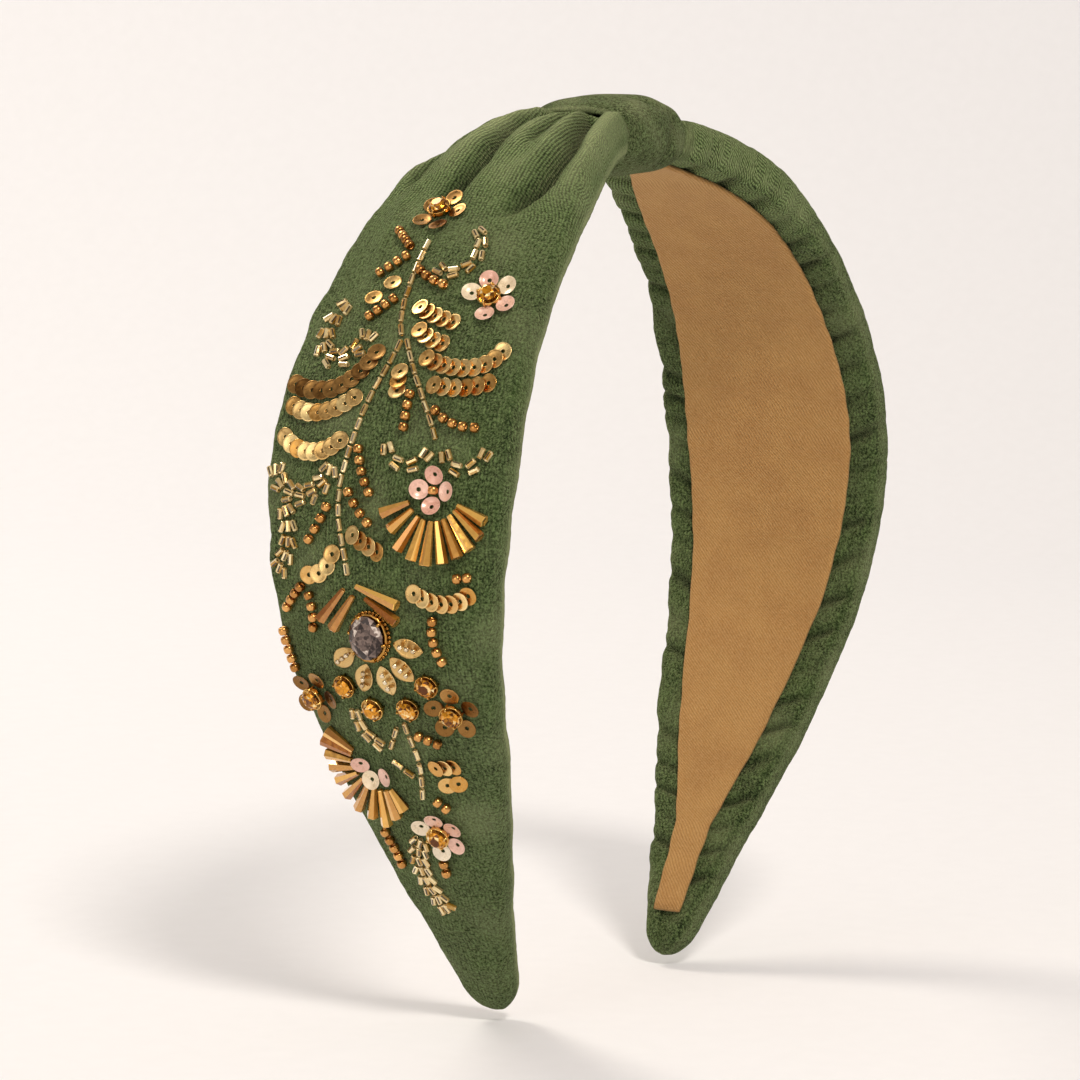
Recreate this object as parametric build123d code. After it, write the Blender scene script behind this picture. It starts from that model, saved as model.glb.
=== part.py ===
from build123d import *
from math import atan2, cos, degrees, radians, sin
import os

# Padded velvet headband: a springy hoop core, foam and a velvet cover on each arm, a velvet knot over
# the crown, a velour lining inside, and bead, sequin and stone embroidery on both arms.
# Frame: X from ear to ear, Y from front (-) to back (+), Z up. The origin is the centre of the crown arc,
# which is the middle of the head. "left" is the -X side. All lengths are millimetres, angles degrees.
# On the band, s is the distance from the crown along the arch, t is the place across the band (+ to the
# back), and n is the height above the arch line, which runs through the band's upper edges.

# ---- The arch and the band ----
ARCH = [(70, 65), (57, 53), (600, 6)]  # radius and sweep of each arc, from the crown to a tip
BAND_WIDTH = [
    (0, 14), (16, 20), (39, 34.5), (66, 40.5), (94, 43.5), (121, 38.5), (148, 29.5), (175, 16), (195, 7),
]  # full width of the band at each s
CROWNING = [(0, 1), (16, 1.4), (40, 2.5), (150, 2.5), (195, 1.2)]  # rise of the padded face at each s

# ---- The layers, as heights n ----
VELVET = 1.0
SHOULDER = 1.6  # how far inside the edge its rounding starts
EDGE_MIDDLE = -2.2
HEM_TOP = -4.0
HEM_BOTTOM = -4.8
HEM_WIDTH = 5.5
CORE_TOP = -2.2
CORE_BOTTOM = -3.8
CORE_INSET = 2.4
FOAM_BOTTOM = -2.0
FOAM_INSET = 3.2
FOAM_GAP = 0.35
CROWN_FACETS, EDGE_FACETS = 6, 4  # straight steps over half the face, and round an edge
LINING_TOP = -3.95
LINING_STEP = -5.0
LINING_BOTTOM = -5.9
LINING_LAP = 1.2
LINING_SIDE_GAP = 0.6

# ---- Where the layers start and stop, as places s ----
NECK_START = 1.2
FOAM_START, FOAM_END = 3, 176
CORE_END = 190
LINING_END = 188
COVER_END = 192.9
TIP_END = 194.9
TIP_INSET = 1.2
SECTION_STEP = 4.5

# ---- The knot ----
KNOT_LENGTH = 20
KNOT_WIDTH, KNOT_HEIGHT = 22, 12.8
KNOT_END_WIDTH, KNOT_END_HEIGHT = 20.4, 11.6
KNOT_MIDDLE, KNOT_END_MIDDLE = 68.2, 67.9
KNOT_ROUND, KNOT_END_ROUND = 5.5, 4.5
TUNNEL_WIDTH, TUNNEL_LOW, TUNNEL_HIGH, TUNNEL_ROUND = 18.4, 62.95, 72.85, 3

# ---- The beads, sequins and stones ----
BUGLE_RADIUS, BUGLE_HOLE = 0.38, 0.14
STEM_BUGLE, SPRAY_BUGLE = 1.9, 1.5
SEED_RADIUS, SEED_LENGTH, SEED_HOLE, SEED_ROUND = 0.8, 1.2, 0.28, 0.3
SEQUIN_RADIUS, SEQUIN_HOLE, SEQUIN_THICK = 1.5, 0.35, 0.2
PETAL_RADIUS = 1.6
SCALE_TILT = 14
PETAL_TILT = 14
CUPPED_TILT = 24
TAPER_THIN, TAPER_WIDE, TAPER_HOLE = 0.45, 1.05, 0.25
CUP_RADIUS, CUP_HEIGHT, CUP_FLOOR = 1.9, 1.0, 0.2
PRONG_RADIUS, PRONG_PLACE, PRONG_HEIGHT = 0.16, 1.84, 1.35
STONE_RADIUS, STONE_TABLE, STONE_CULET = 1.58, 0.9, 0.5
STONE_LEVELS = (0.3, 1.05, 1.15, 1.6)  # culet, girdle below, girdle above, table
OVAL_LENGTH, OVAL_WIDTH, OVAL_RISE = 7.4, 6.2, 2.0
SETTING_WALL, SETTING_HEIGHT, SETTING_FLOOR, SETTING_GAP = 0.35, 1.1, 0.3, 0.06
LEAF_LENGTH, LEAF_WIDTH, LEAF_THICK = 5.2, 3.2, 0.25
LEAF_BEAD_RADIUS, LEAF_BEAD_LENGTH, LEAF_BEAD_STEP = 0.42, 0.7, 1.15
REST = 0.1  # gap between the velvet and what is sewn on it
FLOWER_LIFT = 0.6  # a flower's stone stands on its petals
SLOPE_STEP = 0.05

# ---- Where the embroidery goes: threads as (s, t) points, with the number of pieces on each ----
STEM_THREADS = [
    ([(55.9, 2.7), (60, 2.6), (64.5, 2.3), (69, 1.7), (71.6, 0.9)], 8),
    ([(74.2, 0.5), (77.5, 1.3), (82, 2.8), (91.5, 5.2), (96, 6), (100.5, 5.9), (104.5, 5), (108.3, 4.1)], 17),
    ([(73.9, -1), (77, -2.8), (82, -6), (87.4, -9.2)], 8),
    ([(133.5, -2.5), (136.5, -2.9), (140, -3.2), (143.5, -2.8), (146, -2.3)], 6),
    ([(134.5, -0.4), (136.8, 0.8)], 2),
    ([(140.8, 0.9), (142.2, -0.9)], 2),
]
SPRAY_THREADS = [
    ([(52.6, -5.2), (56, -6.9), (59.4, -6.4), (61, -4), (60.6, -1.9)], 6, 2),
    ([(67.4, 13.4), (71.4, 15), (75, 14.4), (76.7, 11.8), (75.7, 8.6), (72.8, 6.6)], 8, 3),
    ([(93.9, 8.3), (96.4, 9.9), (98, 13.2), (97.4, 16.6), (94.4, 19.1)], 7, 3),
    ([(100.6, 16.4), (104.7, 15.7), (109.4, 17.6)], 5, 3),
    ([(90.2, -1.8), (92.2, -3.8), (92.3, -6.5), (90.6, -8.5)], 4, 2),
    ([(90.6, -11.7), (92.3, -13.6), (92, -16), (89.8, -18)], 4, 2),
    ([(131.9, 6.3), (134.4, 5.8), (137.2, 3.4)], 4, 2),
    ([(156.4, 1.2), (161, 2.5), (165.5, 2), (169.8, 0.3)], 8, 3),
]  # points, places along the thread, pieces side by side
SEED_THREADS = [
    ([(53.2, 8.9), (56.2, 5.6)], 4),
    ([(61.6, 8.7), (58.4, 5.2)], 4),
    ([(61.2, 1.3), (62.6, -1), (63.6, -3.8)], 4),
    ([(66.6, 3.9), (68, 5.2), (69.7, 7.2)], 4),
    ([(81.9, -4), (86.9, -4.1)], 4),
    ([(84, -8.9), (85.6, -11.8), (86, -15.8)], 5),
    ([(90.6, 3.1), (93.3, 2.3), (96.8, 0.4)], 5),
    ([(97, 4.1), (99.1, 2.5), (101.2, 0.3)], 4),
    ([(99.4, 8), (101.5, 9.2), (104.4, 11.2)], 4),
    ([(111.8, 13.1), (113.4, 14.7), (115.3, 16.2)], 4),
    ([(112.9, 11.4), (115.3, 10.9), (117.9, 11.2)], 4),
    ([(115.2, -10.6), (118, -10.4), (121.5, -11.4)], 5),
    ([(119.4, 17.6), (122.4, 17.1), (125.4, 16.5)], 5),
    ([(134.7, -4.6), (135.3, -6.1), (135.9, -7.6)], 3),
    ([(147.3, -4.7), (148.5, -5.8)], 2),
    ([(159.9, -2.3), (161.8, -2.2)], 2),
    ([(155.2, 7.3), (158.3, 6.5), (161.4, 6)], 5),
    ([(108.3, -16.6), (108.5, -15)], 2),
    ([(95.8, -10.6)], 1),
]
GOLD_THREADS = [
    ([(63.4, 5.6), (66.2, 8)], 2),
    ([(67.6, -1.1), (68.8, -3.9), (69.7, -7.6)], 5),
    ([(71.4, -2.3), (72.7, -4.5), (73.4, -7)], 4),
    ([(76, -5.2), (77, -9), (76.6, -13.6), (73.4, -17)], 9),
    ([(80.1, -7.6), (80.3, -10), (80, -13), (78.8, -16.2)], 6),
    ([(78.4, -1.1), (81.4, -1.5)], 3),
    ([(82.9, 5.9), (84.9, 10), (85.4, 13.5), (84.4, 17.4)], 8),
    ([(89.5, 7), (91.4, 11.5), (91, 15), (89.3, 18)], 8),
    ([(103.2, 3), (104.2, 1.1), (105.4, -1.4)], 4),
    ([(106.3, 6.8), (108.8, 8.4), (109.8, 11.4)], 4),
    ([(111.2, -7.6), (112.3, -10.5), (112.4, -14), (111.1, -16.6)], 7),
    ([(140.9, -5.9), (140.6, -8.9)], 3),
    ([(143.9, -8.9), (144.1, -7.1)], 2),
]
BRONZE_THREADS = [
    ([(75.6, 3.9), (78.6, 5.9), (81, 9), (81.9, 13), (80.9, 18)], 10),
]
# Flowers: centre, ring radius, directions of the petals by colour
FLOWERS = [
    ((48.8, 3.4), 3.2, {"bronze": [54, 126, 198, 270, 342]}),
    ((64.6, -12), 3.2, {"pink": [158, 288, 355], "cream": [95, 222]}),
    ((130, 13.6), 3.1, {"bronze": [54, 126, 198, 270, 342]}),
    ((130.4, -11.4), 3.1, {"bronze": [38, 110, 182, 254, 326]}),
    ((154.2, -3), 3.2, {"pink": [179, 241, 303], "cream": [5, 117]}),
]
# Fans: centre, cupped sequins at their hearts by colour, then direction and tip radius of each long bead
FAN_START = 4.3
SEQUIN_RING = 2.4
FANS = [
    ((95.8, -10.6), {"pink": [0, 90, 180, 270]}, [
        (64, 9.2), (47, 9.2), (30, 10.6), (16, 10.9), (2, 11.2), (-12, 11), (-26, 10.8), (-39, 10.7),
        (-52, 10.4), (-65, 9.6),
    ]),
    ((142, 5.5), {"pink": [105, -60], "cream": [22]}, [
        (129, 9.6), (113, 9.8), (96, 9.2), (79, 9.2), (63, 9.6), (47, 10.4), (32, 10.8), (17, 10.4),
        (2, 11), (-13, 9.4), (-28, 8.4),
    ]),
]
LOOSE_TAPERS = [
    ((111.2, 4.6), (116.4, 9.2)),
    ((112.1, 3), (117.6, 6.9)),
    ((110.6, 2.5), (113.2, -5)),
    ((112.3, 0.9), (115.8, -4.7)),
]
OVAL_PLACE, OVAL_TURN = (118.3, 0.6), 12
LEAF_RAYS = [(55, 6.8), (18, 7.2), (-14, 7.2), (-45, 6.9), (-78, 6.6)]  # direction, distance from the oval
CHATON_PLACES = [(127, 6.9), (130.2, 2.3), (129.8, -4), (125.6, -8.2)]


# ---- The band's shape ----
def read_smoothly(table, s):
    """Value at s from rows of (place, value): a cubic that takes its slopes from the rows on each side."""
    last = len(table) - 1
    row = max(k for k in range(last) if k == 0 or table[k][0] <= s)
    (place, value), (next_place, next_value) = table[row], table[row + 1]
    gap = next_place - place
    u = (s - place) / gap

    def slope(k):
        before, after = table[max(k - 1, 0)], table[min(k + 1, last)]
        return (after[1] - before[1]) / (after[0] - before[0]) * gap

    ease_out = (1 - u) ** 2
    start = ease_out * (value * (1 + 2 * u) + slope(row) * u)
    return start + u * u * (next_value * (3 - 2 * u) - slope(row + 1) * (1 - u))


def arch_at(s):
    """Sideways distance, height and slope of the arch at s."""
    x, z, slope = 0, ARCH[0][0], 0
    for radius, sweep in ARCH:
        turn = min(degrees(s / radius), sweep)
        x += radius * (sin(radians(slope + turn)) - sin(radians(slope)))
        z += radius * (cos(radians(slope + turn)) - cos(radians(slope)))
        slope += turn
        s -= radius * radians(turn)
    return x, z, slope


def half_width(s):
    return read_smoothly(BAND_WIDTH, s) / 2


def face_height(s, t):
    """Height n of the padded outer face."""
    return read_smoothly(CROWNING, s) * (1 - (t / half_width(s)) ** 2)


def hem_end(s):
    """How far from the middle the turned-in hem ends."""
    return max(half_width(s) - HEM_WIDTH, half_width(s) / 4)


def section_plane(s):
    """Plane across the left arm at s: its X axis is t and its Y axis is n."""
    x, z, slope = arch_at(s)
    up_band = (cos(radians(slope)), 0, sin(radians(slope)))
    return Plane(origin=(-x, 0, z), x_dir=(0, 1, 0), z_dir=up_band)


def loft_layer(section, first, last):
    """Solid of the left arm with straight runs between its sections, which stand across the arm."""
    count = round((last - first) / SECTION_STEP)
    places = [first + (last - first) * k / count for k in range(count + 1)]
    return loft([section_plane(s) * section(s) for s in places], ruled=True)


def both_halves(half):
    return half + mirror(half, about=Plane.YZ)


# ---- Layers ----
def bow(start, middle, end, facets):
    """Points in short straight steps from start to end, on the parabola through the middle point."""
    control = [2 * m - (a + b) / 2 for a, m, b in zip(start, middle, end)]
    steps = [k / facets for k in range(facets + 1)]
    return [
        tuple((1 - u) ** 2 * a + 2 * u * (1 - u) * c + u * u * b for a, c, b in zip(start, control, end))
        for u in steps
    ]


def mirrored_face(back_half):
    """Face inside an outline that is given from the middle, round the back half, to the middle again."""
    front_half = [(-t, n) for t, n in reversed(back_half[1:-1])]
    return make_face(Polyline(*back_half, *front_half, close=True))


def cover_section(s):
    """The velvet in section: over the face, round both edges and back under them as hems."""
    half = half_width(s)
    shoulder = half - SHOULDER
    inner_shoulder = shoulder - VELVET / 2
    across = [shoulder * k / CROWN_FACETS for k in range(CROWN_FACETS)]
    crown = [(t, face_height(s, t)) for t in across]
    inner_crown = [(t * inner_shoulder / shoulder, n - VELVET) for t, n in reversed(crown)]
    edge_top = (shoulder, face_height(s, shoulder))
    inner_edge_top = (inner_shoulder, face_height(s, shoulder) - VELVET)
    edge = bow(edge_top, (half, EDGE_MIDDLE), (shoulder, HEM_BOTTOM), EDGE_FACETS)
    hem = [(hem_end(s), HEM_BOTTOM), (hem_end(s), HEM_TOP)]
    inner_edge = bow((inner_shoulder, HEM_TOP), (half - VELVET, EDGE_MIDDLE), inner_edge_top, EDGE_FACETS)
    return mirrored_face(crown + edge + hem + inner_edge + inner_crown)


def tip_section(s, inset):
    """The closed outline of the velvet where it is gathered over the end of an arm."""
    half = half_width(s) - inset
    shoulder = half - SHOULDER + inset / 2
    edge_top = (shoulder, face_height(s, half_width(s) - SHOULDER) - inset / 2)
    edge_bottom = (shoulder, HEM_BOTTOM + inset / 2)
    edge = bow(edge_top, (half, EDGE_MIDDLE), edge_bottom, EDGE_FACETS)
    return mirrored_face([(0, face_height(s, 0) - inset / 2), *edge, (0, HEM_BOTTOM + inset / 2)])


def make_cover():
    """Velvet cover of the left arm, from its neck inside the knot to its closed tip."""
    sleeve = loft_layer(cover_section, NECK_START, COVER_END)
    tip_start = section_plane(COVER_END) * tip_section(COVER_END, 0)
    tip_face = section_plane(TIP_END) * tip_section(TIP_END, TIP_INSET)
    return sleeve + loft([tip_start, tip_face], ruled=True)


def foam_section(s):
    """Foam in section: flat on the core, and crowned in short straight steps under the velvet."""
    half = half_width(s) - FOAM_INSET
    across = [half * k / CROWN_FACETS for k in range(CROWN_FACETS + 1)]
    crown = [(t, face_height(s, t) - VELVET - FOAM_GAP) for t in across]
    return mirrored_face([*crown, (half, FOAM_BOTTOM), (0, FOAM_BOTTOM)])


def core_section(s):
    height = CORE_TOP - CORE_BOTTOM
    return Pos(0, (CORE_TOP + CORE_BOTTOM) / 2) * Rectangle(2 * (half_width(s) - CORE_INSET), height)


def lining_section(s):
    """Velour ribbon, thick between the hems and lapping a little over them."""
    middle = hem_end(s) - LINING_SIDE_GAP
    lap = min(hem_end(s) + LINING_LAP, half_width(s) - SHOULDER)
    outline = Polyline(
        (-lap, LINING_BOTTOM), (lap, LINING_BOTTOM), (lap, LINING_STEP), (middle, LINING_STEP),
        (middle, LINING_TOP), (-middle, LINING_TOP), (-middle, LINING_STEP), (-lap, LINING_STEP),
        (-lap, LINING_BOTTOM),
    )
    return make_face(outline)


def make_knot():
    """Velvet wrap round both necks, open at each end, with room inside for the necks to tilt."""
    def outline(place):
        middle = place == 0
        width = KNOT_WIDTH if middle else KNOT_END_WIDTH
        height = KNOT_HEIGHT if middle else KNOT_END_HEIGHT
        level = KNOT_MIDDLE if middle else KNOT_END_MIDDLE
        rounding = KNOT_ROUND if middle else KNOT_END_ROUND
        plane = Plane(origin=(place, 0, level), x_dir=(0, 1, 0), z_dir=(1, 0, 0))
        return plane * RectangleRounded(width, height, rounding)

    body = loft([outline(place) for place in (-KNOT_LENGTH / 2, 0, KNOT_LENGTH / 2)])
    tunnel_plane = Plane(
        origin=(-KNOT_LENGTH, 0, (TUNNEL_LOW + TUNNEL_HIGH) / 2), x_dir=(0, 1, 0), z_dir=(1, 0, 0)
    )
    mouth = RectangleRounded(TUNNEL_WIDTH, TUNNEL_HIGH - TUNNEL_LOW, TUNNEL_ROUND)
    return body - extrude(tunnel_plane * mouth, 2 * KNOT_LENGTH)


# ---- Shapes of the beads, sequins and stones: each lies along X, with Z away from the velvet ----
def make_tube(outline, hole, length):
    tube = extrude(outline - Circle(hole), length / 2, both=True)
    return Rot(0, 90, 0) * tube


def make_bugle(length):
    return make_tube(RegularPolygon(BUGLE_RADIUS, 6), BUGLE_HOLE, length)


def make_seed(radius, length, hole, rounding):
    """Round bead with its hole along X."""
    bead = Cylinder(radius, length) - Cylinder(hole, length)
    rims = bead.edges().filter_by(GeomType.CIRCLE).sort_by(lambda edge: edge.radius)[-2:]
    return Rot(0, 90, 0) * fillet(rims, rounding)


def make_sequin(radius):
    return Cylinder(radius, SEQUIN_THICK) - Cylinder(SEQUIN_HOLE, SEQUIN_THICK)


def make_taper(length):
    """Long glass bead, thin at the end towards -X."""
    return Rot(0, 90, 0) * (Cone(TAPER_THIN, TAPER_WIDE, length) - Cylinder(TAPER_HOLE, length))


def make_cup():
    """Pressed metal cup with four prongs, standing on Z = 0."""
    standing = (Align.CENTER, Align.CENTER, Align.MIN)
    cup = Cylinder(CUP_RADIUS, CUP_HEIGHT, align=standing)
    recess = Cone(STONE_CULET + CUP_FLOOR, CUP_RADIUS - CUP_FLOOR, CUP_HEIGHT - CUP_FLOOR, align=standing)
    cup -= Pos(0, 0, CUP_FLOOR) * recess
    prong = Cylinder(PRONG_RADIUS, PRONG_HEIGHT, align=standing)
    for place in PolarLocations(PRONG_PLACE, 4):
        cup += place * prong
    return cup


def make_stone():
    """Eight-sided cut stone with a flat table, in the cup's own frame."""
    culet, girdle_low, girdle_high, table = STONE_LEVELS
    rings = [
        (culet, STONE_CULET), (girdle_low, STONE_RADIUS), (girdle_high, STONE_RADIUS), (table, STONE_TABLE),
    ]
    return loft([Pos(0, 0, level) * RegularPolygon(radius, 8) for level, radius in rings], ruled=True)


def make_oval_setting():
    inner_length, inner_width = OVAL_LENGTH / 2 + SETTING_GAP, OVAL_WIDTH / 2 + SETTING_GAP
    outer = Ellipse(inner_length + SETTING_WALL, inner_width + SETTING_WALL)
    tray = extrude(outer, SETTING_HEIGHT)
    return tray - Pos(0, 0, SETTING_FLOOR) * extrude(Ellipse(inner_length, inner_width), SETTING_HEIGHT)


def make_oval_stone():
    """Smooth domed stone lying in its setting."""
    dome = scale(Sphere(1), by=(OVAL_LENGTH / 2, OVAL_WIDTH / 2, OVAL_RISE))
    dome = split(dome, bisect_by=Plane.XY, keep=Keep.TOP)
    return Pos(0, 0, SETTING_FLOOR + SETTING_GAP) * dome


def make_leaf():
    """Pointed metal spangle: the overlap of two discs."""
    half_length, half_breadth = LEAF_LENGTH / 2, LEAF_WIDTH / 2
    radius = (half_length ** 2 + half_breadth ** 2) / LEAF_WIDTH
    offset = radius - half_breadth
    outline = (Pos(0, offset) * Circle(radius)) & (Pos(0, -offset) * Circle(radius))
    return extrude(outline, LEAF_THICK)


# ---- Placing pieces on the left arm ----
def face_point(s, t):
    x, z, slope = arch_at(s)
    n = face_height(s, t)
    return Vector(-x - n * sin(radians(slope)), t, z + n * cos(radians(slope)))


def seat(place, heading=0, lift=0, tilt=0):
    """Location on the outer face: X along the heading (0 down the arm, 90 to the back), Z outward."""
    s, t = place
    here = face_point(s, t)
    down = (face_point(s + SLOPE_STEP, t) - here).normalized()
    back = (face_point(s, t + SLOPE_STEP) - here).normalized()
    outward = back.cross(down)
    along = down * cos(radians(heading)) + back * sin(radians(heading))
    plane = Plane(origin=here + outward * lift, x_dir=along, z_dir=outward)
    return plane.location * Rot(0, -tilt, 0)


def heading_of(way):
    return degrees(atan2(way.Y, way.X))


def along_thread(points, count):
    """Evenly spaced places on a thread, each with the thread's heading there."""
    if count == 1:
        return [(points[0], 0)]
    thread = Spline(*points) if len(points) > 2 else Line(*points)
    spots = []
    for k in range(count):
        distance = thread.length * k / (count - 1)
        spot = thread.position_at(distance, position_mode=PositionMode.LENGTH)
        way = thread.tangent_at(distance, position_mode=PositionMode.LENGTH)
        spots.append(((spot.X, spot.Y), heading_of(way)))
    return spots


def step_from(place, direction, distance):
    s, t = place
    return s + distance * cos(radians(direction)), t + distance * sin(radians(direction))


def stem_bugles():
    bugle = make_bugle(STEM_BUGLE)
    lift = BUGLE_RADIUS + REST
    return [seat(spot, way, lift) * bugle for row in STEM_THREADS for spot, way in along_thread(*row)]


def spray_bugles():
    """Feathers of short bugles: a spine with barbs that lean outward on each side."""
    bugle = make_bugle(SPRAY_BUGLE)
    lift = BUGLE_RADIUS + REST
    barb_lean = 26
    barb_offset = {2: 0.62, 3: 1.18}
    placed = []
    for points, count, abreast in SPRAY_THREADS:
        for k, (spot, way) in enumerate(along_thread(points, count)):
            wobble = 7 * sin(2.4 * k)
            if abreast == 3:
                placed.append(seat(spot, way + wobble, lift) * bugle)
            for side in (-1, 1):
                barb = step_from(spot, way + 90 * side, barb_offset[abreast])
                lean = side * (barb_lean if abreast == 3 else barb_lean / 3)
                placed.append(seat(barb, way + lean + wobble, lift) * bugle)
    return placed


def seed_beads():
    seed = make_seed(SEED_RADIUS, SEED_LENGTH, SEED_HOLE, SEED_ROUND)
    lift = SEED_RADIUS + REST
    return [seat(spot, way, lift) * seed for row in SEED_THREADS for spot, way in along_thread(*row)]


def scale_row(points, count):
    """Sequins sewn like scales, each leaning on the one before it."""
    sequin = make_sequin(SEQUIN_RADIUS)
    lift = SEQUIN_RADIUS * sin(radians(SCALE_TILT)) + SEQUIN_THICK / 2 + REST
    return [seat(spot, way, lift, SCALE_TILT) * sequin for spot, way in along_thread(points, count)]


def ring_sequins(centre, ring, radius, tilt, directions):
    sequin = make_sequin(radius)
    lift = radius * sin(radians(tilt)) + SEQUIN_THICK / 2 + REST
    return [seat(step_from(centre, way, ring), way, lift, tilt) * sequin for way in directions]


def petals(colour):
    placed = []
    for centre, ring, colours in FLOWERS:
        placed += ring_sequins(centre, ring, PETAL_RADIUS, PETAL_TILT, colours.get(colour, []))
    for centre, colours, rays in FANS:
        placed += ring_sequins(centre, SEQUIN_RING, SEQUIN_RADIUS, CUPPED_TILT, colours.get(colour, []))
    return placed


def gold_sequins():
    return [sequin for row in GOLD_THREADS for sequin in scale_row(*row)]


def bronze_sequins():
    return [sequin for row in BRONZE_THREADS for sequin in scale_row(*row)] + petals("bronze")


def tapered_bugles():
    runs = list(LOOSE_TAPERS)
    for centre, colours, rays in FANS:
        runs += [(step_from(centre, way, FAN_START), step_from(centre, way, tip)) for way, tip in rays]
    placed = []
    for thin_end, wide_end in runs:
        run = Line(thin_end, wide_end)
        middle = run.position_at(0.5)
        way = heading_of(run.tangent_at(0.5))
        # the lower side of the cone lies flat on the velvet
        cone_lean = degrees((TAPER_WIDE - TAPER_THIN) / run.length)
        lift = (TAPER_WIDE + TAPER_THIN) / 2 + REST
        placed.append(seat((middle.X, middle.Y), way, lift, cone_lean) * make_taper(run.length))
    return placed


def chaton_seats():
    on_velvet = [seat(place, 0, REST) for place in CHATON_PLACES]
    return on_velvet + [seat(centre, 0, FLOWER_LIFT) for centre, ring, colours in FLOWERS]


def chaton_cups():
    cup = make_cup()
    return [place * cup for place in chaton_seats()]


def chaton_stones():
    stone = make_stone()
    return [place * stone for place in chaton_seats()]


def oval_seat():
    return seat(OVAL_PLACE, OVAL_TURN, REST)


def leaf_places():
    return [(step_from(OVAL_PLACE, way, distance), way) for way, distance in LEAF_RAYS]


def leaf_spangles():
    leaf = make_leaf()
    return [seat(place, way, REST) * leaf for place, way in leaf_places()]


def leaf_beads():
    bead = make_seed(LEAF_BEAD_RADIUS, LEAF_BEAD_LENGTH, BUGLE_HOLE, BUGLE_HOLE)
    lift = REST + LEAF_THICK + REST + LEAF_BEAD_RADIUS
    placed = []
    for place, way in leaf_places():
        for k in (-1, 0, 1):
            placed.append(seat(place, way, lift) * Pos(k * LEAF_BEAD_STEP, 0, 0) * bead)
    return placed


# ---- Write every sub-part ----
def write(name, shape):
    export_step(shape, f"parts/{name}.step")


def write_pair(name, shape):
    """Write the left arm's piece, and its mirror image for the right arm."""
    write(f"left_{name}", shape)
    write(f"right_{name}", mirror(shape, about=Plane.YZ))


def write_group(name, pieces):
    write_pair(name, Compound(children=[piece.solid() for piece in pieces]))


os.makedirs("parts", exist_ok=True)
write("hoop_core", both_halves(loft_layer(core_section, 0, CORE_END)))
write("lining", both_halves(loft_layer(lining_section, 0, LINING_END)))
write("knot_wrap", make_knot())
write_pair("cover", make_cover())
write_pair("foam_pad", loft_layer(foam_section, FOAM_START, FOAM_END))
write_group("stem_bugles", stem_bugles())
write_group("spray_bugles", spray_bugles())
write_group("seed_beads", seed_beads())
write_group("gold_sequins", gold_sequins())
write_group("bronze_sequins", bronze_sequins())
write_group("pink_sequins", petals("pink"))
write_group("cream_sequins", petals("cream"))
write_group("tapered_bugles", tapered_bugles())
write_group("chaton_cups", chaton_cups())
write_group("chaton_stones", chaton_stones())
write_group("leaf_spangles", leaf_spangles())
write_group("leaf_beads", leaf_beads())
write_pair("oval_setting", oval_seat() * make_oval_setting())
write_pair("oval_stone", oval_seat() * make_oval_stone())
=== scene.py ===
import bmesh
import bpy
import numpy as np
from math import cos, pi, radians, sin
from mathutils import Matrix, Vector


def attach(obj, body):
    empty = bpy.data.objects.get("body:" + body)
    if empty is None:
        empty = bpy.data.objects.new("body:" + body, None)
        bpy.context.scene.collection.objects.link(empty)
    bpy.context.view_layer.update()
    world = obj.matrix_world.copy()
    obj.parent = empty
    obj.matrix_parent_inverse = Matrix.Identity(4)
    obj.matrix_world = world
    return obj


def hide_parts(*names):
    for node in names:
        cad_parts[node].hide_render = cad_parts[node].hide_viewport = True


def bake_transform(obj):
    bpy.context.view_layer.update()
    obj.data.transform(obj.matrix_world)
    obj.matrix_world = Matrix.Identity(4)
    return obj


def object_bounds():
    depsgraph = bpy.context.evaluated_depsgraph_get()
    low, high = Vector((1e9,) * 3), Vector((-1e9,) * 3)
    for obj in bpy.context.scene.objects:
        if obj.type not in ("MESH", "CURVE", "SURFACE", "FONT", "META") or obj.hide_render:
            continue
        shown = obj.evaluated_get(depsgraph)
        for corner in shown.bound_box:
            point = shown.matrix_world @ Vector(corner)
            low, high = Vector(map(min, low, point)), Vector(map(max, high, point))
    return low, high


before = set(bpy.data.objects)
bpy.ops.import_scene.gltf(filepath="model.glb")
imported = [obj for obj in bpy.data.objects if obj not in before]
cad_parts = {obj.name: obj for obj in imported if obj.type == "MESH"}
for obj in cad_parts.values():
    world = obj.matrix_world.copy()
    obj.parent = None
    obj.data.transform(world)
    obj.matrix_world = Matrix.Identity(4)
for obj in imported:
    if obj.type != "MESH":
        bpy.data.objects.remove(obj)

# Looks of the knotted velvet headband. Shapes are worked out in millimetres and made in metres.
# On the band, s is the distance from the crown along the arch, t is the place across the band (+ to the
# back), and n is the height above the arch line, as in the CAD source. side is -1 for the left arm.
MM = 0.001
SIDES = {"left": -1, "right": 1}
START_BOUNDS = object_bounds()

# ---- The band, as in the CAD source ----
ARCH = [(70, 65), (57, 53), (600, 6)]  # radius and sweep of each arc, from the crown to a tip
BAND_WIDTH = [
    (0, 14), (16, 20), (39, 34.5), (66, 40.5), (94, 43.5), (121, 38.5), (148, 29.5), (175, 16), (195, 7),
]
CROWNING = [(0, 1), (16, 1.4), (40, 2.5), (150, 2.5), (195, 1.2)]
SHOULDER = 1.6
HEM_BOTTOM, HEM_RECESS, HEM_WIDTH = -4.8, -4.35, 6.8
COVER_START, COVER_END, TIP_START = 1.2, 194.9, 188.5
FOAM_START, FOAM_END, FOAM_INSET, FOAM_BOTTOM = 3, 176, 3.2, -2.0
FOAM_DROP, FOLDED_DROP = 1.4, 1.9  # below the face, and further below it under the folds
CORE_TOP, CORE_BOTTOM, CORE_INSET, CORE_END = -2.2, -3.8, 2.4, 190
LINING_TOP, LINING_BOTTOM, LINING_LAP, LINING_END = -4.95, -5.85, 1.2, 188
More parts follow.
